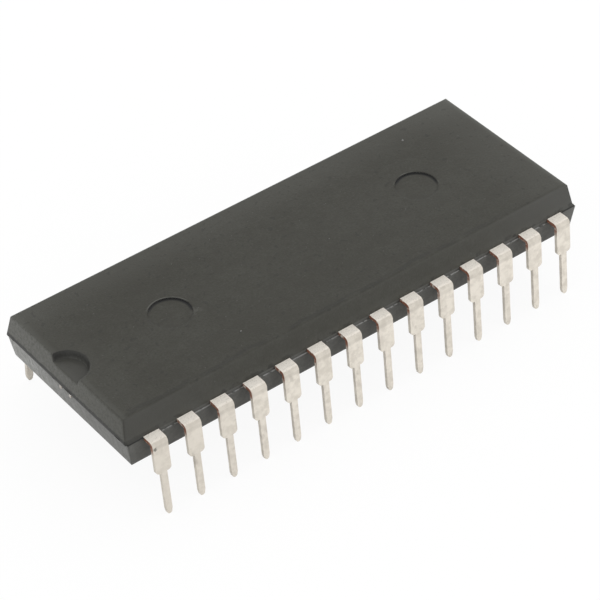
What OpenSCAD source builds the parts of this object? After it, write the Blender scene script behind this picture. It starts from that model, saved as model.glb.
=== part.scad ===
// Plastic dual in-line integrated circuit package on a stamped and formed leadframe.
// X runs along the package with the index notch at -X, Y runs across it, and Z is up.
// The origin is on the plane of the lead tips, under the middle of the package.

/* [Moulded body] */
// Number of leads on each long side
side_leads = 14; // [10:1:14]
// Spacing of the leads along each side
pitch = 2.54; // [2.45:0.01:2.65]
// Width of the upper mould half at the parting line
body_w = 13.4; // [12.8:0.1:14.2]
// Moulding beyond the centre of the last lead
end_overhang = 1.82; // [1.4:0.02:2.4]
// Height of the top face above the middle of the leadframe
upper_h = 1.86; // [1.6:0.02:2.2]
// Depth of the underside below the middle of the leadframe
lower_h = 1.85; // [1.6:0.05:2.2]
// Draft angle of the two ends
end_draft = 8.5; // [5:0.5:12]
// Draft angle of the upper long sides
upper_side_draft = 13; // [5:0.5:15]
// Draft angle of the lower long sides
lower_side_draft = 7; // [5:0.5:15]
// Rounding of the top edges
edge_r = 0.2; // [0.05:0.01:0.3]
// Rounding of the bottom edges
low_edge_r = 0.1; // [0.05:0.01:0.3]
// Offset of the upper mould half towards the notch
mould_shift = 0.1; // [0.02:0.01:0.14]
// Reach of the lower mould half beyond the upper one on the long sides
lower_rim = 0.13; // [0.05:0.01:0.2]

/* [Marks in the moulding] */
// Radius of the index notch at the top face
notch_r = 1.54; // [1.2:0.02:1.8]
// Radius of the index notch at its floor
notch_floor_r = 1.36; // [1:0.02:1.5]
// Depth of the index notch
notch_depth = 0.5; // [0.3:0.05:0.8]
// Radius of each ejector pin mark
mark_r = 1.48; // [1:0.02:1.8]
// Depth of each ejector pin mark
mark_depth = 0.09; // [0.05:0.01:0.2]
// Distance of the ejector pin marks from the middle
mark_x = 10.14; // [8:0.02:12]

/* [Formed leads] */
// Thickness of the leadframe strip
lead_t = 0.25; // [0.2:0.01:0.3]
// Width of the upper part of a lead
lead_w = 1.16; // [1:0.02:1.4]
// Width of the pin that enters the board
pin_w = 0.46; // [0.4:0.01:0.54]
// Reach of the lead's outer face beyond the moulding
shoulder_out = 0.98; // [0.8:0.02:1.2]
// Inside radius of the bend
bend_r = 0.08; // [0.05:0.01:0.35]
// Outward lean of the formed leads
splay = 4.5; // [1:0.5:8]
// Drop of the lead's stop below the underside
stop_drop = 0.55; // [0.4:0.05:0.9]
// Height of the pin below the stop
pin_drop = 3.4; // [3:0.05:3.6]
// Radius of the stop's corners
stop_r = 0.27; // [0.1:0.01:0.33]
// Length of the tapered tip
tip_taper = 0.4; // [0.3:0.05:0.8]
// Width of the tip at its end
tip_w = 0.36; // [0.2:0.01:0.38]

/* [Leadframe inside the moulding] */
// Length of the wide root of each lead inside the moulding
anchor_len = 1.7; // [1.4:0.05:2]
// Radius of the mould lock hole in each root
lock_hole_r = 0.3; // [0.2:0.02:0.4]
// Width of a finger where it leaves its root
finger_w = 0.46; // [0.36:0.01:0.5]
// Width of the round bond tip of a finger
bond_w = 0.32; // [0.26:0.01:0.34]
// Step from each side of a finger out to its bond tip
bond_step = 0.02; // [0.01:0.01:0.04]
// Straight part of a finger before it turns inwards
finger_neck = 0.25; // [0.15:0.05:0.4]
// Spacing of the bond tips along the paddle's long sides
bond_pitch = 1; // [0.9:0.02:1.1]
// Gap between the paddle or a tie bar and the bond tips
bond_gap = 0.26; // [0.2:0.01:0.4]
// Depth of the paddle below the fingers
downset = 0.3; // [0.2:0.02:0.5]
// Rim of the paddle around the die
paddle_margin = 0.6; // [0.4:0.05:0.8]
// Distance of each tie bar from the centre line
tie_y = 0.55; // [0.4:0.01:0.6]
// Width of each tie bar
tie_w = 0.28; // [0.2:0.02:0.36]
// Length of the slope that lowers the paddle
tie_ramp = 0.6; // [0.4:0.05:1]
// Cut end of a tie bar that stands out of the moulding
tie_stub = 0.05; // [0.02:0.01:0.1]

/* [Die and bond wires] */
// Length of the silicon die
die_l = 5.2; // [4.8:0.1:5.6]
// Width of the silicon die
die_w = 4; // [3.8:0.1:4.4]
// Thickness of the silicon die
die_t = 0.35; // [0.25:0.01:0.45]
// Thickness of the die attach layer
attach_t = 0.03; // [0.02:0.01:0.06]
// Rim of the die attach layer around the die
attach_rim = 0.12; // [0.05:0.01:0.2]
// Distance of the bond pads from the edge of the die
pad_inset = 0.15; // [0.1:0.01:0.2]
// Diameter of the bond wire
wire_d = 0.032; // [0.025:0.001:0.05]
// Straight rise of the wire above its ball bond
wire_rise = 0.12; // [0.08:0.01:0.2]
// Radius of the bend at the top of the wire's loop
loop_r = 0.1; // [0.06:0.01:0.14]
// Radius of the ball bond on the die
ball_r = 0.05; // [0.04:0.005:0.07]
// Height of the ball bond on the die
ball_h = 0.03; // [0.02:0.005:0.05]
// Radius of the stitch bond on the finger
stitch_r = 0.06; // [0.04:0.005:0.1]
// Metal of the stitch bond above and below the wire
stitch_cover = 0.004; // [0.002:0.001:0.01]

/* [Hidden] */
$fn = 32;
lead_count = 2 * side_leads;
body_len = (side_leads - 1) * pitch + 2 * end_overhang;
side_y = -body_w / 2;
underside_z = stop_drop + pin_drop;
frame_z = underside_z + lower_h;
frame_low = frame_z - lead_t / 2;
frame_top = frame_z + lead_t / 2;
top_z = frame_z + upper_h;
upper_depth = top_z - frame_top;
lower_depth = frame_top - underside_z;
top_inset = upper_depth * tan(end_draft);

bend_y = side_y - shoulder_out + bend_r + lead_t;
bend_z = frame_low - bend_r;
bent_z = bend_z + bend_r * sin(splay);
stop_v = (bent_z - pin_drop) / cos(splay);
tip_v = bent_z / cos(splay);

paddle_x = die_l / 2 + paddle_margin;
paddle_y = die_w / 2 + paddle_margin;
paddle_top = frame_top - downset;
paddle_low = paddle_top - lead_t;
die_low = paddle_top + attach_t;
die_top = die_low + die_t;

corner_fingers = 4;
bond_x = paddle_x + bond_gap + bond_w / 2;
bond_y = paddle_y + bond_gap + bond_w / 2;
inner_bond_y = tie_y + tie_w / 2 + bond_gap + bond_w / 2;
outer_bond_y = paddle_y + bond_w / 2;
corner_pitch = (outer_bond_y - inner_bond_y) / (corner_fingers - 1);
edge_fingers = side_leads - 2 * corner_fingers;
last_bond_x = bond_pitch * (edge_fingers - 1) / 2;
pad_x = die_l / 2 - pad_inset;
pad_y = die_w / 2 - pad_inset;
// A ball bond never reaches past the next pad at the corner of the die
pad_corner = 2 * pad_inset;
stitch_h = wire_d + 2 * stitch_cover;
// The bend of a wire's loop is a little thicker than the wire, which runs this far into both its ends
loop_d = 1.05 * wire_d;
loop_lap = wire_d / 5;
// Pieces that are joined inside one solid run this far into each other
lap = 0.1;

function two_digits(n) = str(n < 10 ? "0" : "", n);
function lead_name(n) = str("lead_", two_digits(n));
function wire_name(n) = str("wire_", two_digits(n));
function unit(v) = v / norm(v);
function left_of(v) = [-v[1], v[0]];

// Place of a lead in its row, counted from the middle of the side
function from_middle(k) = k - (side_leads + 1) / 2;
function lead_x(k) = from_middle(k) * pitch;
function is_edge(k) = abs(from_middle(k)) < edge_fingers / 2;
function from_end(k) = (side_leads - 1) / 2 - abs(from_middle(k));
function bond_at(k) = is_edge(k)
    ? [from_middle(k) * bond_pitch, -bond_y]
    : [sign(from_middle(k)) * bond_x, -inner_bond_y - from_end(k) * corner_pitch];
function pad_at(k) = is_edge(k)
    ? [bond_at(k)[0] / last_bond_x * (pad_x - pad_corner), -pad_y]
    : [sign(from_middle(k)) * pad_x, bond_at(k)[1] / outer_bond_y * (pad_y - pad_corner / 2)];

// Way of a finger from the root of its lead to its bond tip
function finger_path(k) = [
    [lead_x(k), side_y + anchor_len - lap],
    [lead_x(k), side_y + anchor_len + finger_neck],
    bond_at(k)
];
finger_widths = [finger_w, finger_w, bond_w - 2 * bond_step];

// Points at half a width beside a path, on its left for side 1 and on its right for side -1
function step_in(path, i) = unit(path[max(i, 1)] - path[max(i, 1) - 1]);
function step_out(path, i) = unit(path[min(i + 1, len(path) - 1)] - path[min(i, len(path) - 2)]);
function mitre(path, i) = unit(left_of(step_in(path, i)) + left_of(step_out(path, i)));
function beside(path, widths, side) = [
    for (i = [0 : len(path) - 1])
        path[i] + side * mitre(path, i) * widths[i] / 2 / (mitre(path, i) * left_of(step_in(path, i)))
];
function reversed(list) = [for (i = [len(list) - 1 : -1 : 0]) list[i]];

// Number of the same place in the front row, for a lead or wire in either row
function in_row(n) = n <= side_leads ? n : n - side_leads;

module in_its_row(n) {
    rotate([0, 0, n <= side_leads ? 0 : 180]) children();
}

// Drafted profile of one mould half: base edge at 0, far edge rounded. The rounding's circle is a
// hundredth larger than the tangent one, so that it ends at a clear line on both faces.
module half_profile(half_base, height, draft, rounding) {
    half_far = half_base - height * tan(draft);
    cut = rounding * tan(45 - draft / 2);
    union() {
        polygon([
            [-half_base, 0],
            [half_base, 0],
            [half_far + cut * sin(draft), height - cut * cos(draft)],
            [half_far - cut, height],
            [cut - half_far, height],
            [-half_far - cut * sin(draft), height - cut * cos(draft)]
        ]);
        for (side = [-1, 1]) {
            translate([side * (half_far - cut), height - rounding]) circle(r = 1.01 * rounding);
        }
    }
}

// One mould half: its profile across the package cut to its profile along the package
module mould_half(half_width, height, side_draft, rounding) {
    intersection() {
        rotate([90, 0, 90]) linear_extrude(2 * body_len, center = true)
            half_profile(half_width, height, side_draft, rounding);
        rotate([90, 0, 0]) linear_extrude(2 * body_w, center = true)
            half_profile(body_len / 2, height, end_draft, rounding);
    }
}

// Resin sheared off with the dam bars: the lower half's rim, as deep as the leads, in the first row
module dam_cut() {
    translate([lead_x(1) - lead_w / 2, side_y - lower_rim - lap, frame_low])
        cube([lead_x(side_leads) - lead_x(1) + lead_w, lower_rim + lap, lead_t + lap]);
}

// Lower mould half, which takes in the thickness of the leadframe
module lower_half() {
    difference() {
        translate([0, 0, frame_top]) mirror([0, 0, 1])
            mould_half(body_w / 2 + lower_rim, lower_depth, lower_side_draft, low_edge_r);
        for (turn = [0, 180]) rotate([0, 0, turn]) dam_cut();
    }
}

module moulding() {
    union() {
        translate([-mould_shift, 0, frame_top])
            mould_half(body_w / 2, upper_depth, upper_side_draft, edge_r);
        lower_half();
    }
}

module index_notch() {
    slope = (notch_r - notch_floor_r) / notch_depth;
    translate([-body_len / 2 - mould_shift + top_inset, 0, top_z - notch_depth])
        cylinder(h = notch_depth + lap, r1 = notch_floor_r, r2 = notch_r + slope * lap, $fn = 64);
}

module ejector_marks() {
    for (x = [-mark_x, mark_x]) {
        translate([x, 0, top_z - mark_depth]) cylinder(h = mark_depth + lap, r = mark_r, $fn = 64);
        translate([x, 0, underside_z - lap]) cylinder(h = mark_depth + lap, r = mark_r, $fn = 64);
    }
}

module body() {
    color([0.27, 0.27, 0.25])
    difference() {
        moulding();
        index_notch();
        ejector_marks();
        for (n = [1 : lead_count]) in_its_row(n) lead_flat(in_row(n));
        paddle_shape();
        attach_shape();
        die_shape();
        for (n = [1 : lead_count]) in_its_row(n) wire_shape(in_row(n));
    }
}

// Flat part of a lead: shoulder, wide root with its lock hole, and the finger to the paddle
module lead_flat(k) {
    path = finger_path(k);
    difference() {
        translate([0, 0, frame_low]) linear_extrude(lead_t) {
            translate([lead_x(k) - lead_w / 2, bend_y]) square([lead_w, side_y + anchor_len - bend_y]);
            polygon(concat(beside(path, finger_widths, 1), reversed(beside(path, finger_widths, -1))));
            translate(bond_at(k)) circle(d = bond_w);
        }
        translate([lead_x(k), side_y + anchor_len / 2, frame_low - lap])
            cylinder(h = lead_t + 2 * lap, r = lock_hole_r);
    }
}

// Outline of the formed part: wide with round stop corners, then a narrow pin with a tapered tip
module formed_outline() {
    end_v = tip_v - tip_w / 2;
    union() {
        translate([-lead_w / 2, 0]) square([lead_w, stop_v - stop_r]);
        translate([stop_r - lead_w / 2, 0]) square([lead_w - 2 * stop_r, stop_v]);
        for (side = [-1, 1]) {
            translate([side * (lead_w / 2 - stop_r), stop_v - stop_r]) circle(r = stop_r);
        }
        polygon([
            [-pin_w / 2, stop_v - lap],
            [pin_w / 2, stop_v - lap],
            [pin_w / 2, tip_v - tip_taper],
            [tip_w / 2, end_v],
            [-tip_w / 2, end_v],
            [-pin_w / 2, tip_v - tip_taper]
        ]);
        translate([0, end_v]) circle(d = tip_w);
    }
}

// Bend and formed part, in the front row at the middle of the side
module lead_formed() {
    translate([0, bend_y, bend_z]) {
        rotate([180, -90, 0]) rotate_extrude(angle = 90 - splay, $fn = 64)
            translate([bend_r, -lead_w / 2]) square([lead_t, lead_w]);
        rotate([-90 - splay, 0, 0]) translate([0, 0, -bend_r - lead_t])
            linear_extrude(lead_t) formed_outline();
    }
}

module lead(n) {
    color([0.82, 0.79, 0.73])
    in_its_row(n) union() {
        lead_flat(in_row(n));
        translate([lead_x(in_row(n)), 0, 0]) lead_formed();
    }
}

// Paddle with two tie bars to each end, which slope up to the level of the fingers
module paddle_shape() {
    foot = paddle_x + bond_gap;
    union() {
        translate([-paddle_x, -paddle_y, paddle_low]) cube([2 * paddle_x, 2 * paddle_y, lead_t]);
        for (end = [0, 1], side = [-1, 1]) {
            mirror([end, 0, 0]) translate([0, side * tie_y, 0]) rotate([90, 0, 0])
                linear_extrude(tie_w, center = true) polygon([
                    [paddle_x - lap, paddle_low],
                    [foot, paddle_low],
                    [foot + tie_ramp, frame_low],
                    [body_len / 2 + tie_stub, frame_low],
                    [body_len / 2 + tie_stub, frame_top],
                    [foot + tie_ramp, frame_top],
                    [foot, paddle_top],
                    [paddle_x - lap, paddle_top]
                ]);
        }
    }
}

module die_paddle() {
    color([0.78, 0.66, 0.5]) paddle_shape();
}

module attach_shape() {
    translate([-die_l / 2 - attach_rim, -die_w / 2 - attach_rim, paddle_top])
        cube([die_l + 2 * attach_rim, die_w + 2 * attach_rim, attach_t]);
}

module die_attach() {
    color([0.7, 0.7, 0.7]) attach_shape();
}

module die_shape() {
    translate([-die_l / 2, -die_w / 2, die_low]) cube([die_l, die_w, die_t]);
}

module die() {
    color([0.35, 0.37, 0.45]) die_shape();
}

// Ball bond, rise, loop and span of one wire, in the upright plane through its two bonds
module wire_shape(k) {
    way = bond_at(k) - pad_at(k);
    rise_top = die_top + ball_h + wire_rise;
    to_stitch = [norm(way) - loop_r, frame_top + stitch_h / 2 - rise_top];
    reach = norm(to_stitch);
    // Angle round the loop's centre where the span leaves it, to a thousandth of a degree
    leave = round(1000 * (atan2(to_stitch[1], to_stitch[0]) + acos(loop_r / reach))) / 1000;
    span = sqrt(reach * reach - loop_r * loop_r);
    translate(concat(pad_at(k), 0)) rotate([0, 0, atan2(way[1], way[0])]) union() {
        translate([0, 0, die_top]) cylinder(h = ball_h, r = ball_r);
        translate([0, 0, die_top + ball_h / 2])
            cylinder(h = ball_h / 2 + wire_rise + loop_lap, d = wire_d, $fn = 16);
        translate([loop_r, 0, rise_top]) rotate([90, 0, 0]) rotate([0, 0, leave])
            rotate_extrude(angle = 180 - leave, $fn = 64)
            translate([loop_r, 0]) circle(d = loop_d, $fn = 16);
        translate([loop_r, 0, rise_top]) rotate([0, -leave, 0]) translate([loop_r, 0, loop_lap])
            rotate([180, 0, 0]) cylinder(h = span + loop_lap, d = wire_d, $fn = 16);
        translate([norm(way), 0, frame_top]) cylinder(h = stitch_h, r = stitch_r);
    }
}

module wire(n) {
    color([0.9, 0.72, 0.3]) in_its_row(n) wire_shape(in_row(n));
}

body();
die_paddle();
die_attach();
die();
for (n = [1 : lead_count]) {
    lead(n);
    wire(n);
}
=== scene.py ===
"""Looks of a plastic dual in-line integrated circuit package: finishes, trim marks and studio."""

import math
import random

import bmesh
import bpy
from bpy.props import FloatProperty, FloatVectorProperty, IntProperty, PointerProperty
from mathutils import Matrix, Vector


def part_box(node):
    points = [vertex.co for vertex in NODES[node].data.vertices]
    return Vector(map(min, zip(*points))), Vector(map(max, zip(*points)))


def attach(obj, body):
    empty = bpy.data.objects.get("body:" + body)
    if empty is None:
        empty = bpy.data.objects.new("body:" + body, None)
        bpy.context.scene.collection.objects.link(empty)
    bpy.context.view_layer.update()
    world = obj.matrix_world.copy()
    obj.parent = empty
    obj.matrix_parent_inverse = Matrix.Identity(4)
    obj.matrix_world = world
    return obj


bl_info = {
    "name": "Dual in-line package",
    "version": (1, 0, 0),
    "blender": (4, 5, 0),
    "location": "3D View > Sidebar > Package",
    "description": "Finishes, trim marks and studio of a moulded dual in-line package",
    "category": "Object",
}

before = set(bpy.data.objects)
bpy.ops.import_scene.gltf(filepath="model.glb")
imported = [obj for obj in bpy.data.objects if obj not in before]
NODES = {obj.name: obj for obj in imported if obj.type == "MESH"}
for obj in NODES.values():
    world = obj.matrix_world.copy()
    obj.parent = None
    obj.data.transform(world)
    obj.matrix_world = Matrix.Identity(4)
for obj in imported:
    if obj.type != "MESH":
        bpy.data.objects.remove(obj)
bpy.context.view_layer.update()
LEADS = sorted(name for name in NODES if name.startswith("lead_"))
WIRES = sorted(name for name in NODES if name.startswith("wire_"))

MM = 0.001
# Half the width of a sharp change between two zones of a material
HAIR = 0.01 * MM
WHITE = (1.0, 1.0, 1.0, 1.0)

# Thickness of the leads, middle height of the leadframe, and the parting plane at its top
LEAD_T = 0.25 * MM
FRAME_Z = 5.8 * MM
PARTING_Z = FRAME_Z + LEAD_T / 2
# Long side and end of the moulding at the parting plane, and the end of the rim among the leads
SIDE_Y = 6.7 * MM
END_X = 18.33 * MM
ROW_X = 17.09 * MM
# How far the upper half of the moulding sits towards the notch
MOULD_SHIFT = 0.1 * MM
# Middle and radius of the index notch and of the ejector marks
NOTCH_X = -18.17 * MM
NOTCH_R = 1.54 * MM
MARK_X = 10.14 * MM
MARK_R = 1.48 * MM
# Middles of the pale smear and of the dark stain on the top
SMEAR_X = -8.75 * MM
SMEAR_Y = -0.95 * MM
STAIN_Y = -6.03 * MM
# In millimetres: the nick in the first lead, the largest crumbs with their sizes, and the tie bars' burrs
NICK = (-16.93, -7.72, 5.44)
CRUMBS = (((12.55, 4.44, 7.66), 0.25), ((-7.71, -4.3, 7.66), 0.15), ((-10.43, -6.76, 5.68), 0.15))
BURRS = ((-18.39, -0.55), (-18.39, 0.55), (18.37, -0.55), (18.37, 0.55))
BURR_Z = 5.68
BURR_SIZE = (0.07, 0.24, 0.2)
# The camera's place in millimetres and its axes, fitted to the photograph
CAMERA_PLACE = (-78.43279, -108.53853, 118.92116)
CAMERA_RIGHT = (0.79274772, -0.60866127, -0.03290154)
CAMERA_UP = (0.41830942, 0.50397722, 0.75566142)
CAMERA_BACK = (-0.44336022, -0.61281189, 0.65413554)
SENSOR_WIDTH = 36.0


def colour(name, description, default):
    """A colour that a user may change, in linear light."""
    return FloatVectorProperty(
        name=name, description=description, default=default, subtype="COLOR", size=3, min=0.0, max=1.0
    )


def length(name, description, default):
    """A length that a user may change, in metres."""
    return FloatProperty(name=name, description=description, default=default, unit="LENGTH", min=0.0)


def share(name, description, default):
    """A share from 0 to 1 that a user may change."""
    return FloatProperty(
        name=name, description=description, default=default, subtype="FACTOR", min=0.0, max=1.0
    )


class PackageMoulding(bpy.types.PropertyGroup):
    """Epoxy moulding compound."""

    resin: colour("Resin", "Colour of the moulded epoxy", (0.024, 0.023, 0.0155))
    cloud: colour("Cloud", "Colour of the paler clouds in the epoxy", (0.041, 0.041, 0.032))
    # Pale tone for painted light on the upper half's long sides and on the notch's floor and rim.
    lit_side_resin: colour("Side resin", "Colour of the upper half's long sides", (0.052, 0.0515, 0.0455))
    filler: colour("Filler", "Colour of the silica grains at the surface", (0.085, 0.086, 0.079))
    # Pale tone for painted light on the ends, on the top's back and ends, on the sides' foot and on the
    # ejector mark rims; also the pale smear.
    pale_lit_resin: colour("Pale ends", "Colour of the epoxy on the coarser ends", (0.145, 0.146, 0.133))
    # Painted reflection of the floor on the ends below the parting line.
    low_end_reflection: colour(
        "Pale lower ends", "Colour of the ends below the parting line", (0.27, 0.272, 0.255)
    )
    low_resin: colour("Lower resin", "Colour of the lower half's long sides", (0.092, 0.092, 0.084))
    crumb: colour("Crumbs", "Colour of the crumbs that lie on the moulding", (0.2, 0.2, 0.19))
    # Pale tone of epoxy worn by the trim tool, used also for painted highlights on the ends and the ledge,
    # and on the flash.
    rubbed_and_lit: colour("Rubbed edge", "Colour of the epoxy where the trim tool rubbed it", (0.36, 0.36, 0.35))
    # Near black for real dirt and stains, and for painted shade in the parting gap, the step, the ejector
    # marks and the notch.
    grime_and_shade: colour("Grime", "Colour of dirt, stains and the darkest edges", (0.004, 0.004, 0.004))
    roughness: share("Roughness", "Roughness of the matte mould finish", 0.5)
    cloud_size: length("Cloud size", "Size of the paler clouds", 0.0011)
    grain_size: length("Grain size", "Size of the mould's spark grain", 0.00009)
    grain_depth: length("Grain depth", "Depth of the mould's spark grain", 0.000012)
    edge_radius: length("Edge radius", "Radius over which the edges look worn", 0.0003)


class PackageLeads(bpy.types.PropertyGroup):
    """Tin plated leads."""

    tin: colour("Tin", "Colour of the matte tin plate", (0.73, 0.68, 0.6))
    worn_tin: colour("Worn tin", "Colour of the tin in its duller patches", (0.6, 0.555, 0.485))
    # Painted light on the shoulders next to the moulding, where its shade falls.
    lit_tin: colour("Polished tin", "Colour of the tin that the forming tool rubbed", (0.9, 0.85, 0.77))
    # Dark tone for real marks and pits from the forming tool, and for painted shade on the bend and just
    # below it.
    scuff_and_shade: colour("Scuff", "Colour of the dark scuffs from the forming tool", (0.34, 0.31, 0.265))
    nick: colour("Nick", "Colour of the dark nick in the first lead", (0.2, 0.19, 0.165))
    copper: colour("Sheared copper", "Colour of the bare copper on the sheared edges", (0.24, 0.095, 0.055))
    roughness: share("Roughness", "Roughness of the matte tin", 0.58)
    patch_size: length("Patch size", "Size of the duller patches", 0.0005)
    edge_radius: length("Edge radius", "Radius of the leads' worn edges", 0.000018)


class PackageInside(bpy.types.PropertyGroup):
    """Pieces sealed inside the moulding."""

    alloy: colour("Leadframe alloy", "Colour of the bare leadframe strip", (0.62, 0.36, 0.2))
    cut: colour("Cut end", "Colour of the tarnished cut ends of the tie bars", (0.42, 0.385, 0.35))
    silver: colour("Silver plate", "Colour of the silver spot plate on the paddle", (0.8, 0.79, 0.76))
    silicon: colour("Silicon", "Colour of the die", (0.1, 0.11, 0.17))
    adhesive: colour("Die attach", "Colour of the silver filled adhesive", (0.42, 0.41, 0.38))
    gold: colour("Gold wire", "Colour of the bond wires", (0.95, 0.62, 0.22))


class PackageTrim(bpy.types.PropertyGroup):
    """Traces that trimming and handling leave."""

    flash_reach: length("Flash reach", "Usual reach of the resin flash at the ends", 0.00016)
    crumbs: IntProperty(
        name="Crumbs", description="Number of small crumbs on the top", default=5, min=0
    )
    crumb_size: length("Crumb size", "Size of the largest small crumb", 0.00008)


class PackageStage(bpy.types.PropertyGroup):
    """Floor, light and camera."""

    floor: colour("Floor", "Colour of the floor", (0.96, 0.96, 0.96))
    background: share("Background", "How much of the floor's light comes from the pale background", 0.92)
    sky: FloatProperty(name="Sky", description="Strength of the even studio light", default=1.0, min=0.0)
    key: FloatProperty(
        name="Key light", description="Power of the large soft light", default=0.03, unit="POWER", min=0.0
    )
    fill: FloatProperty(
        name="Fill light", description="Power of the soft light in front", default=0.07,
        unit="POWER", min=0.0,
    )
    lens: FloatProperty(
        name="Lens", description="Focal length of the camera in millimetres", default=159.746
    )


# Materials


def scaled(tone, factor):
    """A colour with its light scaled by a factor."""
    return tuple(factor * part for part in tone)


class Nodes:
    """A node tree under construction."""

    def __init__(self, tree):
        self.tree = tree
        self.tree.nodes.clear()

    def node(self, kind, **settings):
        """Adds a node of that kind, with its settings."""
        made = self.tree.nodes.new(kind)
        for name, value in settings.items():
            setattr(made, name, value)
        return made

    def link(self, source, target):
        """Joins an output to an input."""
        self.tree.links.new(source, target)

    def feed(self, target, value):
        """Links a socket, or sets a number or colour on it."""
        if isinstance(value, bpy.types.NodeSocket):
            self.link(value, target)
        elif isinstance(value, (int, float)):
            target.default_value = value
        else:
            target.default_value = (*value, 1.0) if len(target.default_value) == 4 else tuple(value)

    def calculate(self, operation, first, second=0.0):
        """Result of one math node."""
        made = self.node("ShaderNodeMath", operation=operation)
        self.feed(made.inputs[0], first)
        self.feed(made.inputs[1], second)
        return made.outputs[0]

    def times(self, first, *others):
        """Product of two or more values."""
        for other in others:
            first = self.calculate("MULTIPLY", first, other)
        return first

    def plus(self, first, second):
        """Sum of two values."""
        return self.calculate("ADD", first, second)

    def minus(self, first, second):
        """First value less the second."""
        return self.calculate("SUBTRACT", first, second)

    def larger(self, first, second):
        """The larger of two values."""
        return self.calculate("MAXIMUM", first, second)

    def unsigned(self, value):
        """A value without its sign."""
        return self.calculate("ABSOLUTE", value)

    def seen(self):
        """1 for the rays that see the background: from the camera, in gloss and through glass."""
        path = self.node("ShaderNodeLightPath")
        gloss = self.larger(path.outputs["Is Camera Ray"], path.outputs["Is Glossy Ray"])
        return self.larger(gloss, path.outputs["Is Transmission Ray"])


class Finish(Nodes):
    """A material under construction: one shader and the nodes that drive it."""

    def __init__(self, name):
        self.material = bpy.data.materials.new(name)
        self.material.use_nodes = True
        super().__init__(self.material.node_tree)
        self.shader = self.node("ShaderNodeBsdfPrincipled")
        self.place = self.node("ShaderNodeTexCoord").outputs["Object"]
        output = self.node("ShaderNodeOutputMaterial")
        self.link(self.shader.outputs["BSDF"], output.inputs["Surface"])

    def noise(self, size, detail=3.0, rough=0.55, stretch=(1.0, 1.0, 1.0), distortion=0.0):
        """Fractal noise with features of about that size in metres."""
        mapping = self.node("ShaderNodeMapping")
        mapping.inputs["Scale"].default_value = tuple(s / size for s in stretch)
        self.link(self.place, mapping.inputs["Vector"])
        made = self.node("ShaderNodeTexNoise")
        made.inputs["Scale"].default_value = 1.0
        made.inputs["Detail"].default_value = detail
        made.inputs["Roughness"].default_value = rough
        made.inputs["Distortion"].default_value = distortion
        self.link(mapping.outputs["Vector"], made.inputs["Vector"])
        return made.outputs["Fac"]

    def cells(self, size):
        """Distance to the nearest grain centre, for grains that far apart in metres."""
        made = self.node("ShaderNodeTexVoronoi")
        made.inputs["Scale"].default_value = 1.0 / size
        self.link(self.place, made.inputs["Vector"])
        return made.outputs["Distance"]

    def between(self, value, low, high):
        """0 below low, 1 above high and smooth between them. High may be the smaller one."""
        made = self.node("ShaderNodeMapRange", interpolation_type="SMOOTHSTEP")
        self.feed(made.inputs["Value"], value)
        flip = high < low
        made.inputs["From Min"].default_value = high if flip else low
        made.inputs["From Max"].default_value = low if flip else high
        made.inputs["To Min"].default_value = 1.0 if flip else 0.0
        made.inputs["To Max"].default_value = 0.0 if flip else 1.0
        return made.outputs["Result"]

    def band(self, value, low, full_from, full_to, high):
        """1 from full_from to full_to, which fades to 0 at low and at high."""
        return self.times(self.between(value, low, full_from), self.between(value, high, full_to))

    def mix(self, factor, first, second):
        """The first colour, with the second over it by that factor."""
        made = self.node("ShaderNodeMix", data_type="RGBA")
        self.feed(made.inputs["Factor"], factor)
        self.feed(made.inputs["A"], first)
        self.feed(made.inputs["B"], second)
        return made.outputs["Result"]

    def parts(self, vector):
        """X, Y and Z of a vector socket."""
        made = self.node("ShaderNodeSeparateXYZ")
        self.link(vector, made.inputs["Vector"])
        return made.outputs["X"], made.outputs["Y"], made.outputs["Z"]

    def flat(self, x, y):
        """The vector of x, y and 0."""
        made = self.node("ShaderNodeCombineXYZ")
        self.link(x, made.inputs["X"])
        self.link(y, made.inputs["Y"])
        return made.outputs["Vector"]

    def distance(self, vector, centre):
        """Distance from a vector socket to a fixed centre."""
        made = self.node("ShaderNodeVectorMath", operation="DISTANCE")
        self.link(vector, made.inputs[0])
        made.inputs[1].default_value = centre
        return made.outputs["Value"]

    def bump(self, height, depth, soft_edge=0.0):
        """Raises the surface by height, where 1 stands for that depth in metres."""
        made = self.node("ShaderNodeBump")
        if soft_edge:
            worn = self.node("ShaderNodeBevel", samples=6)
            worn.inputs["Radius"].default_value = soft_edge
            self.link(worn.outputs["Normal"], made.inputs["Normal"])
        made.inputs["Strength"].default_value = 1.0
        made.inputs["Distance"].default_value = depth
        self.link(height, made.inputs["Height"])
        self.link(made.outputs["Normal"], self.shader.inputs["Normal"])

    def set(self, **values):
        """Sets or links the shader's sockets by name, with _ for a space."""
        for name, value in values.items():
            self.feed(self.shader.inputs[name.replace("_", " ")], value)


class PlacedFinish(Finish):
    """A finish that follows the place and the true normal of each point, tinted step by step."""

    def __init__(self, name):
        super().__init__(name)
        self.x, self.y, self.z = self.parts(self.place)
        normal = self.node("ShaderNodeNewGeometry").outputs["True Normal"]
        self.nx, self.ny, self.nz = self.parts(normal)
        self.base = None

    def tint(self, factor, tone):
        """Lays a tone over the colour so far."""
        self.base = self.mix(factor, self.base, tone)


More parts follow.
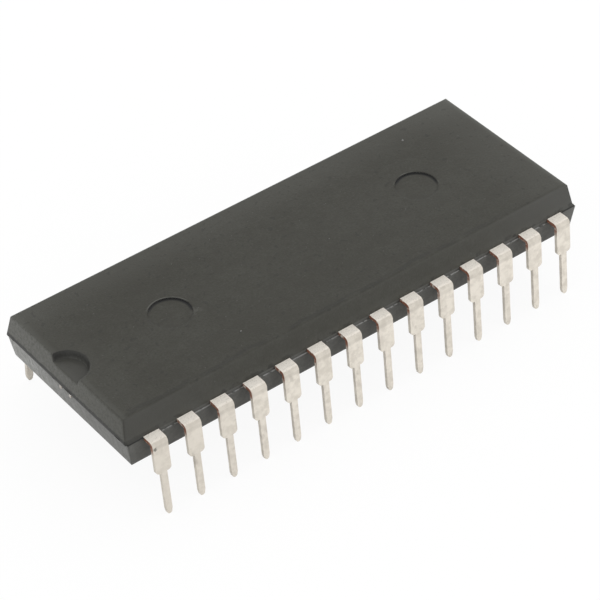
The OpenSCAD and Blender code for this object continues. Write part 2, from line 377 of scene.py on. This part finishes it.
class MouldingFinish(PlacedFinish):
    """Matte black epoxy as it leaves the mould and the trim tool, with painted light and shade."""

    def __init__(self, look):
        super().__init__("moulding compound")
        self.look = look
        self.clouds = self.noise(look.cloud_size, detail=6.0, rough=0.72)
        self.coarse = self.noise(0.3 * MM, detail=5.0, rough=0.75)
        # Level faces, faces of the long sides and faces of the ends
        self.facing_up = self.between(self.nz, 0.8, 0.95)
        self.on_side = self.between(self.unsigned(self.ny), 0.1, 0.95)
        self.at_end = self.between(self.unsigned(self.nx), 0.1, 0.97)
        # The upper half, the lower half and the ledge that stands out beside the upper half
        self.above = self.between(self.z, PARTING_Z - HAIR, PARTING_Z + HAIR)
        self.under = self.between(self.z, PARTING_Z + HAIR, PARTING_Z - HAIR)
        self.outside = self.between(self.unsigned(self.y), SIDE_Y + 0.005 * MM, SIDE_Y + 0.02 * MM)

    def cloud_resin(self):
        """Black resin with paler clouds and fine speckles."""
        broad = self.noise(self.look.cloud_size * 7.0, detail=2.0, stretch=(0.6, 1.0, 1.0))
        tone = self.plus(self.times(self.clouds, 0.65), self.times(broad, 0.35))
        speckle = self.times(self.minus(self.noise(0.15 * MM, detail=2.0), 0.5), 0.4)
        pale = self.between(self.plus(tone, speckle), 0.36, 0.74)
        self.base = self.mix(pale, self.look.resin, self.look.cloud)

    def paint_top_light(self):
        """Painted light on the top, paler at the back, at both ends and along the long edges."""
        back = self.times(self.between(self.y, 3.0 * MM, 6.5 * MM), 0.165)
        far_end = self.times(self.between(self.x, 12.3 * MM, 18.6 * MM), 0.16)
        notch_end = self.times(self.band(self.x, -18.1 * MM, -17.5 * MM, -17.2 * MM, -14.5 * MM), 0.06)
        edges = self.times(self.between(self.unsigned(self.y), 5.95 * MM, 6.2 * MM), 0.045)
        light_share = self.larger(self.plus(back, self.plus(far_end, notch_end)), edges)
        self.tint(self.times(light_share, self.between(self.nz, 0.35, 0.6)), self.look.pale_lit_resin)

    def strew_grains(self):
        """Sparse pale grains of silica at the surface."""
        grains = self.between(self.cells(self.look.grain_size * 2.6), 0.2, 0.08)
        sparse = self.between(self.noise(self.look.grain_size * 4.0, detail=1.0), 0.6, 0.72)
        self.tint(self.times(grains, sparse), self.look.filler)

    def stain_top(self):
        """A faint dark stain that sways along the front edge, and small dark dots."""
        on_top = self.between(self.nz, 0.5, 0.7)
        along_edge = self.noise(3.5 * MM, detail=2.0, stretch=(1.0, 0.0, 0.0))
        sway = self.times(self.minus(along_edge, 0.5), 1.1 * MM)
        from_middle = self.unsigned(self.minus(self.y, self.plus(sway, STAIN_Y)))
        stain = self.between(from_middle, 0.24 * MM, 0.08 * MM)
        broken = self.between(self.noise(1.6 * MM, detail=1.0), 0.3, 0.5)
        stain = self.times(stain, on_top, broken, self.between(self.x, 16.5 * MM, 8.0 * MM))
        dots = self.between(self.noise(0.4 * MM, detail=1.0), 0.64, 0.72)
        dark = self.larger(self.times(stain, 0.28), self.times(dots, 0.3))
        self.tint(self.times(dark, on_top), self.look.grime_and_shade)

    def smear_top(self):
        """A pale smear beside the ejector mark near the notch."""
        along = self.between(self.unsigned(self.minus(self.x, SMEAR_X)), 0.6 * MM, 0.1 * MM)
        across = self.between(self.unsigned(self.minus(self.y, SMEAR_Y)), 0.5 * MM, 0.1 * MM)
        broken = self.between(self.noise(0.35 * MM, detail=2.0), 0.4, 0.6)
        self.tint(self.times(along, across, broken, self.facing_up, 0.2), self.look.pale_lit_resin)

    def light_sides(self):
        """Painted light on the long sides, palest towards the ends, and a paler mottled tone on the lower
        half.
        """
        towards_ends = self.between(self.unsigned(self.x), 9.0 * MM, 18.0 * MM)
        far_end = self.times(self.between(self.x, 6.0 * MM, 18.0 * MM), 0.25)
        pale = self.plus(self.times(towards_ends, 0.5), self.plus(far_end, 0.25))
        self.tint(self.times(self.on_side, pale), self.look.lit_side_resin)
        low = self.look.low_resin
        self.tint(self.under, self.mix(self.between(self.coarse, 0.35, 0.65), scaled(low, 0.76), low))

    def roughen_and_light_ends(self):
        """Coarse ends with painted light, paler towards the back: sandy above, dragged and painted with the
        floor's reflection below, with a ragged painted highlight under the parting line.
        """
        drag = self.noise(0.3 * MM, detail=3.0, stretch=(1.0, 1.0, 0.3))
        dragged = self.mix(self.between(drag, 0.35, 0.65), self.look.low_end_reflection, self.look.rubbed_and_lit)
        tone = self.mix(self.under, self.look.pale_lit_resin, dragged)
        sandy = self.between(self.noise(0.17 * MM, detail=3.0, rough=0.65), 0.5, 0.66)
        tone = self.mix(self.times(sandy, 0.45), tone, self.look.resin)
        # The lip is a painted highlight under the parting line.
        lip = self.between(self.z, PARTING_Z - 0.45 * MM, PARTING_Z - 0.2 * MM)
        ragged = self.between(self.noise(0.25 * MM, detail=2.0), 0.3, 0.6)
        tone = self.mix(self.times(self.under, lip, ragged, 0.45), tone, self.look.rubbed_and_lit)

        # Painted reflection, stronger towards the back of each end.
        upper = self.times(self.between(self.y, -18.0 * MM, 8.5 * MM), self.above)
        lower = self.times(self.plus(self.between(self.y, -3.5 * MM, 8.5 * MM), 0.33), self.under)
        mottle = self.plus(self.times(self.between(self.coarse, 0.2, 0.75), 0.4), 0.4)
        end_light = self.times(mottle, self.larger(upper, lower))
        self.tint(self.times(self.at_end, end_light), tone)

    def light_foot_pale_ends(self):
        """Painted light on the foot of the upper half's long sides, and a paler band near both ends of the
        top.
        """
        foot_light = self.between(self.z, PARTING_Z + 0.7 * MM, PARTING_Z + 0.1 * MM)
        self.tint(self.times(foot_light, self.above, self.on_side, 0.1), self.look.pale_lit_resin)
        from_middle = self.unsigned(self.plus(self.x, MOULD_SHIFT))
        near_end = self.between(from_middle, 17.5 * MM, 18.1 * MM)
        self.tint(self.times(near_end, 0.3, self.facing_up), self.look.pale_lit_resin)

    def light_shear_rim(self):
        """Pale patches on the ledge between the leads, where the dam bars were sheared off: wear from the
        trim tool, with a painted highlight on the ledge's upward faces and its rim.
        """
        low = self.between(self.z, FRAME_Z + 0.02 * MM, FRAME_Z - 0.02 * MM)
        among_leads = self.between(self.unsigned(self.x), ROW_X + HAIR, ROW_X - HAIR)
        rim_highlight = self.times(self.between(self.z, 5.58 * MM, 5.66 * MM), 0.35)
        patchy = self.between(self.noise(0.28 * MM, detail=2.0), 0.36, 0.58)
        sheared = self.times(low, among_leads, self.outside)
        self.tint(self.times(sheared, self.larger(self.facing_up, rim_highlight), patchy), self.look.rubbed_and_lit)

    def shade_parting(self):
        """Painted shade in a ragged band along the parting line under the overhang, and painted shade in
        the step above the ledge.
        """
        ragged_z = self.plus(self.z, self.times(self.minus(self.coarse, 0.5), 0.3 * MM))
        close = self.between(ragged_z, PARTING_Z + 0.34 * MM, PARTING_Z + 0.22 * MM)
        near_corner = self.times(self.between(self.x, -15.2 * MM, -17.2 * MM), 0.4)
        spots = self.times(self.between(self.noise(0.5 * MM, detail=3.0), 0.5, 0.62), 0.55)
        shade_here = self.larger(self.larger(near_corner, spots), self.at_end)
        grainy = self.between(self.coarse, 0.2, 0.5)
        self.tint(self.times(self.above, close, shade_here, grainy, 0.75), self.look.grime_and_shade)
        in_step = self.between(self.z, FRAME_Z, FRAME_Z + 0.1 * MM)
        self.tint(self.times(self.outside, self.facing_up, in_step, 0.7), self.look.grime_and_shade)

    def light_and_shade_marks(self):
        """A broken painted highlight along the rim and painted shade along the inner edge, on the back half
        of each ejector mark.
        """
        across = self.minus(self.x, self.times(self.calculate("SIGN", self.x), MARK_X))
        away = self.distance(self.flat(across, self.y), (0.0, 0.0, 0.0))
        diagonal = self.plus(self.times(across, 0.59), self.times(self.y, 0.81))
        back_half = self.between(diagonal, 0.0, 0.4 * MARK_R)
        past_rim = self.minus(away, MARK_R)
        rim = self.band(past_rim, 0.0, 0.02 * MM, 0.05 * MM, 0.14 * MM)
        broken = self.between(self.noise(0.9 * MM, detail=1.0), 0.4, 0.6)
        lit = self.times(rim, broken, self.times(back_half, self.facing_up), 0.45)
        self.tint(lit, self.look.pale_lit_resin)
        inner_shade = self.band(past_rim, -0.24 * MM, -0.12 * MM, -0.005 * MM, 0.01 * MM)
        grainy = self.between(self.coarse, 0.1, 0.5)
        self.tint(self.times(inner_shade, back_half, grainy, 0.95), self.look.grime_and_shade)

    def shade_notch(self):
        """Painted shade on the upper wall and beside the wall, painted light on the floor, and a painted
        highlight on the rim of the index notch.
        """
        away = self.distance(self.flat(self.x, self.y), (NOTCH_X, 0.0, 0.0))
        within = self.times(
            self.between(away, NOTCH_R + 0.03 * MM, NOTCH_R + HAIR),
            self.between(self.x, NOTCH_X - 0.02 * MM, NOTCH_X + 0.06 * MM),
        )
        upright = self.between(self.nz, 0.8, 0.5)
        upper = self.between(self.z, 6.9 * MM, 7.4 * MM)
        self.tint(self.times(within, upright, upper, 0.62), self.look.grime_and_shade)
        floor = self.times(within, self.facing_up, self.between(self.z, 7.4 * MM, 7.3 * MM))
        self.tint(self.times(floor, 0.7), self.look.lit_side_resin)
        shade_by_wall = self.between(away, NOTCH_R - 0.4 * MM, NOTCH_R - 0.02 * MM)
        self.tint(self.times(floor, shade_by_wall, 0.4), self.look.grime_and_shade)
        past_rim = self.minus(away, NOTCH_R)
        rim = self.band(past_rim, 0.005 * MM, 0.03 * MM, 0.06 * MM, 0.16 * MM)
        self.tint(self.times(rim, self.facing_up, 0.5), self.look.lit_side_resin)

    def press_grain(self):
        """The spark grain of the mould, with wider dimples, and edges that look worn."""
        matte = self.times(self.minus(self.clouds, 0.5), 0.22)
        self.set(
            Base_Color=self.base,
            Roughness=self.plus(matte, self.look.roughness),
            IOR=1.5,
            Specular_IOR_Level=0.34,
        )
        grain = self.noise(self.look.grain_size, detail=2.0, rough=0.6)
        dimple = self.noise(self.look.grain_size * 9.0, detail=2.0)
        height = self.plus(grain, self.times(dimple, 1.6))
        self.bump(height, self.look.grain_depth, soft_edge=self.look.edge_radius)


def moulding_finish(look):
    """Matte black epoxy, from its clouds to the traces of the mould, the trim tool and handling, with
    painted light and shade on its faces, ends, marks and notch.
    """
    made = MouldingFinish(look)
    made.cloud_resin()
    made.paint_top_light()
    made.strew_grains()
    made.stain_top()
    made.smear_top()
    made.light_sides()
    made.roughen_and_light_ends()
    made.light_foot_pale_ends()
    made.light_shear_rim()
    made.shade_parting()
    made.light_and_shade_marks()
    made.shade_notch()
    made.press_grain()
    return made.material


def lead_finish(look):
    """Matte tin with traces of the forming tool, a nick, copper where the strip was sheared, painted shade
    on the bends and painted light on the shoulders next to the moulding.
    """
    made = PlacedFinish("matte tin on copper")
    patches = made.noise(look.patch_size, detail=4.0, rough=0.6)
    made.base = made.mix(made.between(patches, 0.36, 0.66), look.tin, look.worn_tin)
    made.tint(made.times(made.between(made.x, -6.0 * MM, -17.0 * MM), 0.5), look.worn_tin)
    rub = made.noise(look.patch_size * 1.8, detail=3.0, stretch=(1.3, 1.0, 0.7), distortion=0.4)
    made.tint(made.times(made.between(rub, 0.6, 0.78), 0.5), look.scuff_and_shade)

    # Painted shade on the tilted faces of the bend.
    crease_shade = made.band(made.nz, 0.2, 0.4, 0.75, 0.95)
    made.tint(made.times(crease_shade, 0.3), look.scuff_and_shade)
    # Painted light on the shoulders' level faces next to the moulding, against the shade it casts.
    root = made.between(made.unsigned(made.y), 7.9 * MM, 7.1 * MM)
    made.tint(made.times(root, made.between(made.nz, 0.8, 0.95)), look.lit_tin)
    pits = made.between(made.noise(0.09 * MM, detail=2.0), 0.5, 0.68)
    on_shoulder = made.between(made.nz, 0.6, 0.9)
    made.tint(made.times(pits, on_shoulder, 0.3), look.scuff_and_shade)
    # Painted shade on the outer face just below the bend.
    outward = made.between(made.unsigned(made.ny), 0.8, 0.97)
    below_bend_shade = made.band(made.z, 5.25 * MM, 5.45 * MM, 5.6 * MM, 5.75 * MM)
    made.tint(made.times(outward, below_bend_shade, 0.3), look.scuff_and_shade)

    away = made.distance(made.place, tuple(MM * c for c in NICK))
    ragged = made.plus(away, made.times(made.noise(0.12 * MM, detail=1.0), 0.2 * MM))
    nick = made.between(ragged, 0.28 * MM, 0.18 * MM)
    made.tint(made.times(nick, made.between(rub, 0.1, 0.4)), look.nick)

    sheared = made.between(made.unsigned(made.nx), 0.75, 0.95)
    high = made.between(made.z, 4.9 * MM, 5.5 * MM)
    torn = made.between(made.noise(look.patch_size * 0.6, detail=2.0), 0.28, 0.5)
    made.tint(made.times(sheared, high, torn), look.copper)

    made.set(
        Base_Color=made.base,
        Metallic=0.12,
        Roughness=made.plus(made.times(patches, 0.16), look.roughness - 0.08),
        IOR=1.5,
    )
    crystals = made.noise(look.patch_size * 0.16, detail=3.0, rough=0.65)
    made.bump(crystals, 0.006 * MM)
    return made.material


def alloy_finish(look):
    """Rolled copper alloy, silver plated on its top, with tarnished cut ends and burrs."""
    made = PlacedFinish("rolled leadframe alloy")
    lines = made.noise(0.03 * MM, detail=3.0, stretch=(0.05, 1.0, 1.0))
    made.base = made.mix(made.between(lines, 0.3, 0.7), look.alloy, scaled(look.alloy, 0.82))
    cut = made.between(made.unsigned(made.nx), 0.3, 0.6)
    outside = made.between(made.unsigned(made.x), 18.1 * MM, 18.3 * MM)
    made.tint(made.larger(cut, outside), look.cut)
    made.tint(made.between(made.nz, 0.5, 0.9), look.silver)
    made.set(
        Base_Color=made.base,
        Metallic=1.0,
        Roughness=made.plus(made.times(lines, 0.2), 0.22),
    )
    made.bump(lines, 0.002 * MM)
    return made.material


def adhesive_finish(look):
    """Cured adhesive full of silver flakes."""
    made = Finish("silver filled adhesive")
    flakes = made.cells(0.02 * MM)
    glint = made.between(flakes, 0.25, 0.6)
    made.set(
        Base_Color=made.mix(glint, look.adhesive, scaled(look.adhesive, 0.6)),
        Metallic=0.4,
        Roughness=made.plus(made.times(glint, 0.25), 0.4),
    )
    made.bump(flakes, 0.003 * MM)
    return made.material


def silicon_finish(look):
    """Polished die whose circuit blocks show as faintly different fields."""
    made = Finish("silicon die")
    fields = made.node("ShaderNodeTexBrick", offset=0.37, squash=1.0)
    fields.inputs["Scale"].default_value = 1.0 / (0.9 * MM)
    fields.inputs["Mortar Size"].default_value = 0.03
    for name, light in (("Color1", 1.0), ("Color2", 1.5), ("Mortar", 0.5)):
        made.feed(fields.inputs[name], scaled(look.silicon, light))
    made.link(made.place, fields.inputs["Vector"])
    cells = made.cells(0.05 * MM)
    made.set(
        Base_Color=made.mix(made.times(cells, 0.4), fields.outputs["Color"], look.silicon),
        Metallic=0.7,
        Roughness=made.plus(made.times(cells, 0.1), 0.15),
    )
    return made.material


def gold_finish(look):
    """Drawn gold wire."""
    made = Finish("drawn gold wire")
    drawn = made.noise(0.012 * MM, detail=2.0)
    made.set(
        Base_Color=made.mix(made.between(drawn, 0.3, 0.7), look.gold, scaled(look.gold, 0.88)),
        Metallic=1.0,
        Roughness=made.plus(made.times(drawn, 0.12), 0.14),
    )
    made.bump(drawn, 0.001 * MM)
    return made.material


def torn_finish(name, tone):
    """Torn resin of the flash or the crumbs."""
    made = Finish(name)
    grain = made.noise(0.04 * MM, detail=2.0)
    made.set(
        Base_Color=made.mix(made.between(grain, 0.3, 0.7), tone, scaled(tone, 0.55)),
        Roughness=made.plus(made.times(grain, 0.2), 0.7),
    )
    made.bump(grain, 0.01 * MM)
    return made.material


def dress(name, material):
    """Gives a node of the frame its material."""
    mesh = NODES[name].data
    mesh.materials.clear()
    mesh.materials.append(material)


def smooth_edges(name, radius):
    """Rounds the sharp edges of a node by a small radius."""
    made = NODES[name].modifiers.new("worn edges", "BEVEL")
    made.width = radius
    made.segments = 2
    made.limit_method = "ANGLE"
    made.angle_limit = math.radians(40.0)
    made.harden_normals = False


# Pieces that the scene adds


def new_piece(name, shell, material):
    """Turns a bmesh into a piece that belongs to the package."""
    mesh = bpy.data.meshes.new(name)
    bmesh.ops.recalc_face_normals(shell, faces=shell.faces)
    shell.to_mesh(mesh)
    shell.free()
    mesh.materials.append(material)
    piece = bpy.data.objects.new(name, mesh)
    bpy.context.scene.collection.objects.link(piece)
    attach(piece, "root")
    return piece


def crumb(shell, centre, size, chance):
    """Adds one irregular crumb to a bmesh."""
    spin = Matrix.Rotation(chance.uniform(0.0, math.tau), 4, "Z")
    squat = Matrix.Diagonal((1.0, chance.uniform(0.55, 0.8), chance.uniform(0.4, 0.6), 1.0))
    made = bmesh.ops.create_icosphere(
        shell, subdivisions=2, radius=size / 2, matrix=Matrix.Translation(centre) @ spin @ squat
    )
    for vert in made["verts"]:
        vert.co += Vector([chance.uniform(-0.07, 0.07) * size for _ in range(3)])


def fin(shell, inner_shade, outer, low, high):
    """Adds a flat fin between an inner and an outer line of (x, y) points to a bmesh."""
    rings = []
    for (ix, iy), (ox, oy) in zip(inner_shade, outer):
        corners = ((ix, iy, high), (ox, oy, high), (ox, oy, low), (ix, iy, low))
        rings.append([shell.verts.new(corner) for corner in corners])
    for first, second in zip(rings, rings[1:]):
        for side in range(4):
            after = (side + 1) % 4
            shell.faces.new((first[side], first[after], second[after], second[side]))
    shell.faces.new(rings[0])
    shell.faces.new(reversed(rings[-1]))


class PACKAGE_OT_finish_moulding(bpy.types.Operator):
    """Give the moulded body its clouded matte finish"""

    bl_idname = "package.finish_moulding"
    bl_label = "Finish the moulding"

    def execute(self, context):
        dress("body", moulding_finish(context.scene.package_moulding))
        return {"FINISHED"}


class PACKAGE_OT_finish_leads(bpy.types.Operator):
    """Give the leads their tin plate and sheared copper edges"""

    bl_idname = "package.finish_leads"
    bl_label = "Finish the leads"

    def execute(self, context):
        look = context.scene.package_leads
        material = lead_finish(look)
        for name in LEADS:
            dress(name, material)
            smooth_edges(name, look.edge_radius)
        return {"FINISHED"}


class PACKAGE_OT_finish_inside(bpy.types.Operator):
    """Finish the paddle, the die, its adhesive and the bond wires"""

    bl_idname = "package.finish_inside"
    bl_label = "Finish the inside"

    def execute(self, context):
        look = context.scene.package_inside
        dress("die_paddle", alloy_finish(look))
        dress("die_attach", adhesive_finish(look))
        dress("die", silicon_finish(look))
        material = gold_finish(look)
        for name in WIRES:
            dress(name, material)
        return {"FINISHED"}


class PACKAGE_OT_add_crumbs(bpy.types.Operator):
    """Scatter crumbs of torn resin on the top and one on the ledge"""

    bl_idname = "package.add_crumbs"
    bl_label = "Add crumbs"

    def execute(self, context):
        look = context.scene.package_trim
        chance = random.Random(28)
        margin = 1.5 * MM
        low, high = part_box("body")
        shell = bmesh.new()
        for place, size in CRUMBS:
            crumb(shell, Vector(place) * MM, size * MM, chance)
        for _ in range(look.crumbs):
            size = look.crumb_size * chance.uniform(0.4, 1.0)
            x = chance.uniform(low[0] + margin, high[0] - margin)
            y = chance.uniform(low[1] + margin, high[1] - margin)
            crumb(shell, Vector((x, y, high[2] + 0.1 * size)), size, chance)
        material = torn_finish("resin crumbs", context.scene.package_moulding.crumb)
        new_piece("dust_crumbs", shell, material)
        return {"FINISHED"}


class PACKAGE_OT_add_flash(bpy.types.Operator):
    """Add the ragged resin flash along the parting line of both ends, and the burrs of the tie bars"""

    bl_idname = "package.add_flash"
    bl_label = "Add flash and burrs"

    def execute(self, context):
        look = context.scene.package_trim
        chance = random.Random(3)
        steps = 96
        waves = 5
        half_width = SIDE_Y - 0.05 * MM
        root_x = END_X - 0.03 * MM
        shell = bmesh.new()
        for end in (-1.0, 1.0):
            phases = [chance.uniform(0.0, math.tau) for _ in range(waves)]
            inner_shade = []
            outer = []
            for step in range(steps + 1):
                y = (2.0 * step / steps - 1.0) * half_width
                swell = sum(math.sin(y / MM * (0.9 + 1.7 * i) + phases[i]) / (i + 1) for i in range(waves))
                reach = look.flash_reach * max(0.12, 0.4 + 0.3 * swell + chance.uniform(-0.12, 0.12))
                inner_shade.append((end * root_x, y))
                outer.append((end * (END_X + reach), y))
            fin(shell, inner_shade, outer, PARTING_Z - 0.03 * MM, PARTING_Z - 0.005 * MM)
        self.add_burrs(chance)
        # The flash takes the pale tone of the painted highlights, so it adds a painted light line along the
        # parting of each end.
        material = torn_finish("resin flash", context.scene.package_moulding.rubbed_and_lit)
        new_piece("parting_flash", shell, material)
        return {"FINISHED"}

    def add_burrs(self, chance):
        """Adds the burrs that hang below the cut ends of the tie bars."""
        shell = bmesh.new()
        size = Matrix.Diagonal((*(MM * side for side in BURR_SIZE), 1.0))
        for x, y in BURRS:
            place = Matrix.Translation(Vector((x, y, BURR_Z)) * MM)
            made = bmesh.ops.create_icosphere(shell, subdivisions=2, radius=0.62, matrix=place @ size)
            for vert in made["verts"]:
                vert.co += Vector([chance.uniform(-0.008, 0.008) * MM for _ in range(3)])
        metal = NODES["die_paddle"].data.materials[0]
        new_piece("tie_bar_burrs", shell, metal)


class PACKAGE_OT_set_stage(bpy.types.Operator):
    """Set the pale floor, the soft lights and the camera"""

    bl_idname = "package.set_stage"
    bl_label = "Set the stage"

    def execute(self, context):
        look = context.scene.package_stage
        self.lay_floor(context.scene, look)
        self.light_sky(context.scene, look)
        self.hang_light(context.scene, "key light", look.key, place=(0.1, 0.1, 0.18), size=0.14)
        self.hang_light(context.scene, "fill light", look.fill, place=(0.13, -0.15, 0.06), size=0.12)
        self.place_camera(context.scene, look)
        return {"FINISHED"}

    def lay_floor(self, scene, look):
        """Lays a floor that is nearly white and keeps a faint shadow."""
        mesh = bpy.data.meshes.new("floor")
        half = 2.0
        corners = [(-half, -half, 0.0), (half, -half, 0.0), (half, half, 0.0), (-half, half, 0.0)]
        mesh.from_pydata(corners, [], [(0, 1, 2, 3)])
        floor = bpy.data.objects.new("floor", mesh)
        scene.collection.objects.link(floor)
        made = Finish("pale floor")
        made.set(Base_Color=tuple(look.floor), Roughness=0.9, Specular_IOR_Level=0.0)
        glow = made.node("ShaderNodeEmission")
        glow.inputs["Color"].default_value = WHITE
        glow.inputs["Strength"].default_value = 1.0
        blend = made.node("ShaderNodeMixShader")
        made.link(made.times(made.seen(), look.background), blend.inputs["Fac"])
        made.link(made.shader.outputs["BSDF"], blend.inputs[1])
        made.link(glow.outputs["Emission"], blend.inputs[2])
        output = made.tree.get_output_node("ALL")
        made.link(blend.outputs["Shader"], output.inputs["Surface"])
        mesh.materials.append(made.material)

    def light_sky(self, scene, look):
        """Surrounds the package with even light, which the camera sees as white."""
        world = bpy.data.worlds.new("studio")
        world.use_nodes = True
        made = Nodes(world.node_tree)
        blend = made.node("ShaderNodeMixShader")
        made.link(made.seen(), blend.inputs["Fac"])
        for strength, entry in ((look.sky, 1), (1.0, 2)):
            light = made.node("ShaderNodeBackground")
            light.inputs["Color"].default_value = WHITE
            light.inputs["Strength"].default_value = strength
            made.link(light.outputs["Background"], blend.inputs[entry])
        output = made.node("ShaderNodeOutputWorld")
        made.link(blend.outputs["Shader"], output.inputs["Surface"])
        scene.world = world

    def hang_light(self, scene, name, power, place, size):
        """Hangs a square soft light that faces the package."""
        lamp = bpy.data.lights.new(name, "AREA")
        lamp.energy = power
        lamp.size = size
        made = bpy.data.objects.new(name, lamp)
        made.location = place
        made.rotation_euler = Vector(place).to_track_quat("Z", "Y").to_euler()
        scene.collection.objects.link(made)

    def place_camera(self, scene, look):
        """Places the camera where the photograph was taken from."""
        place = Matrix((CAMERA_RIGHT, CAMERA_UP, CAMERA_BACK)).transposed().to_4x4()
        place.translation = Vector(CAMERA_PLACE) * MM
        lens = bpy.data.cameras.new("camera")
        lens.lens = look.lens
        lens.sensor_width = SENSOR_WIDTH
        lens.clip_start = 0.01
        made = bpy.data.objects.new("camera", lens)
        made.matrix_world = place
        scene.collection.objects.link(made)
        scene.camera = made


OPERATORS = (
    PACKAGE_OT_finish_moulding,
    PACKAGE_OT_finish_leads,
    PACKAGE_OT_finish_inside,
    PACKAGE_OT_add_crumbs,
    PACKAGE_OT_add_flash,
    PACKAGE_OT_set_stage,
)


class PACKAGE_PT_steps(bpy.types.Panel):
    """Lists the steps in the order in which they are run"""

    bl_idname = "PACKAGE_PT_steps"
    bl_label = "Dual in-line package"
    bl_space_type = "VIEW_3D"
    bl_region_type = "UI"
    bl_category = "Package"

    def draw(self, context):
        for step in OPERATORS:
            self.layout.operator(step.bl_idname)


GROUPS = {
    "package_moulding": PackageMoulding,
    "package_leads": PackageLeads,
    "package_inside": PackageInside,
    "package_trim": PackageTrim,
    "package_stage": PackageStage,
}


def register():
    """Registers the properties, the operators and the panel."""
    for name, group in GROUPS.items():
        bpy.utils.register_class(group)
        setattr(bpy.types.Scene, name, PointerProperty(type=group))
    for step in OPERATORS:
        bpy.utils.register_class(step)
    bpy.utils.register_class(PACKAGE_PT_steps)


def unregister():
    """Takes the panel, the operators and the properties out again."""
    bpy.utils.unregister_class(PACKAGE_PT_steps)
    for step in reversed(OPERATORS):
        bpy.utils.unregister_class(step)
    for name, group in reversed(GROUPS.items()):
        delattr(bpy.types.Scene, name)
        bpy.utils.unregister_class(group)


def main():
    """Runs every step in order."""
    register()
    bpy.context.scene.view_settings.view_transform = "Standard"
    bpy.ops.package.finish_moulding()
    bpy.ops.package.finish_leads()
    bpy.ops.package.finish_inside()
    bpy.ops.package.add_crumbs()
    bpy.ops.package.add_flash()
    bpy.ops.package.set_stage()
    bpy.context.view_layer.update()


if __name__ == "__main__":
    main()
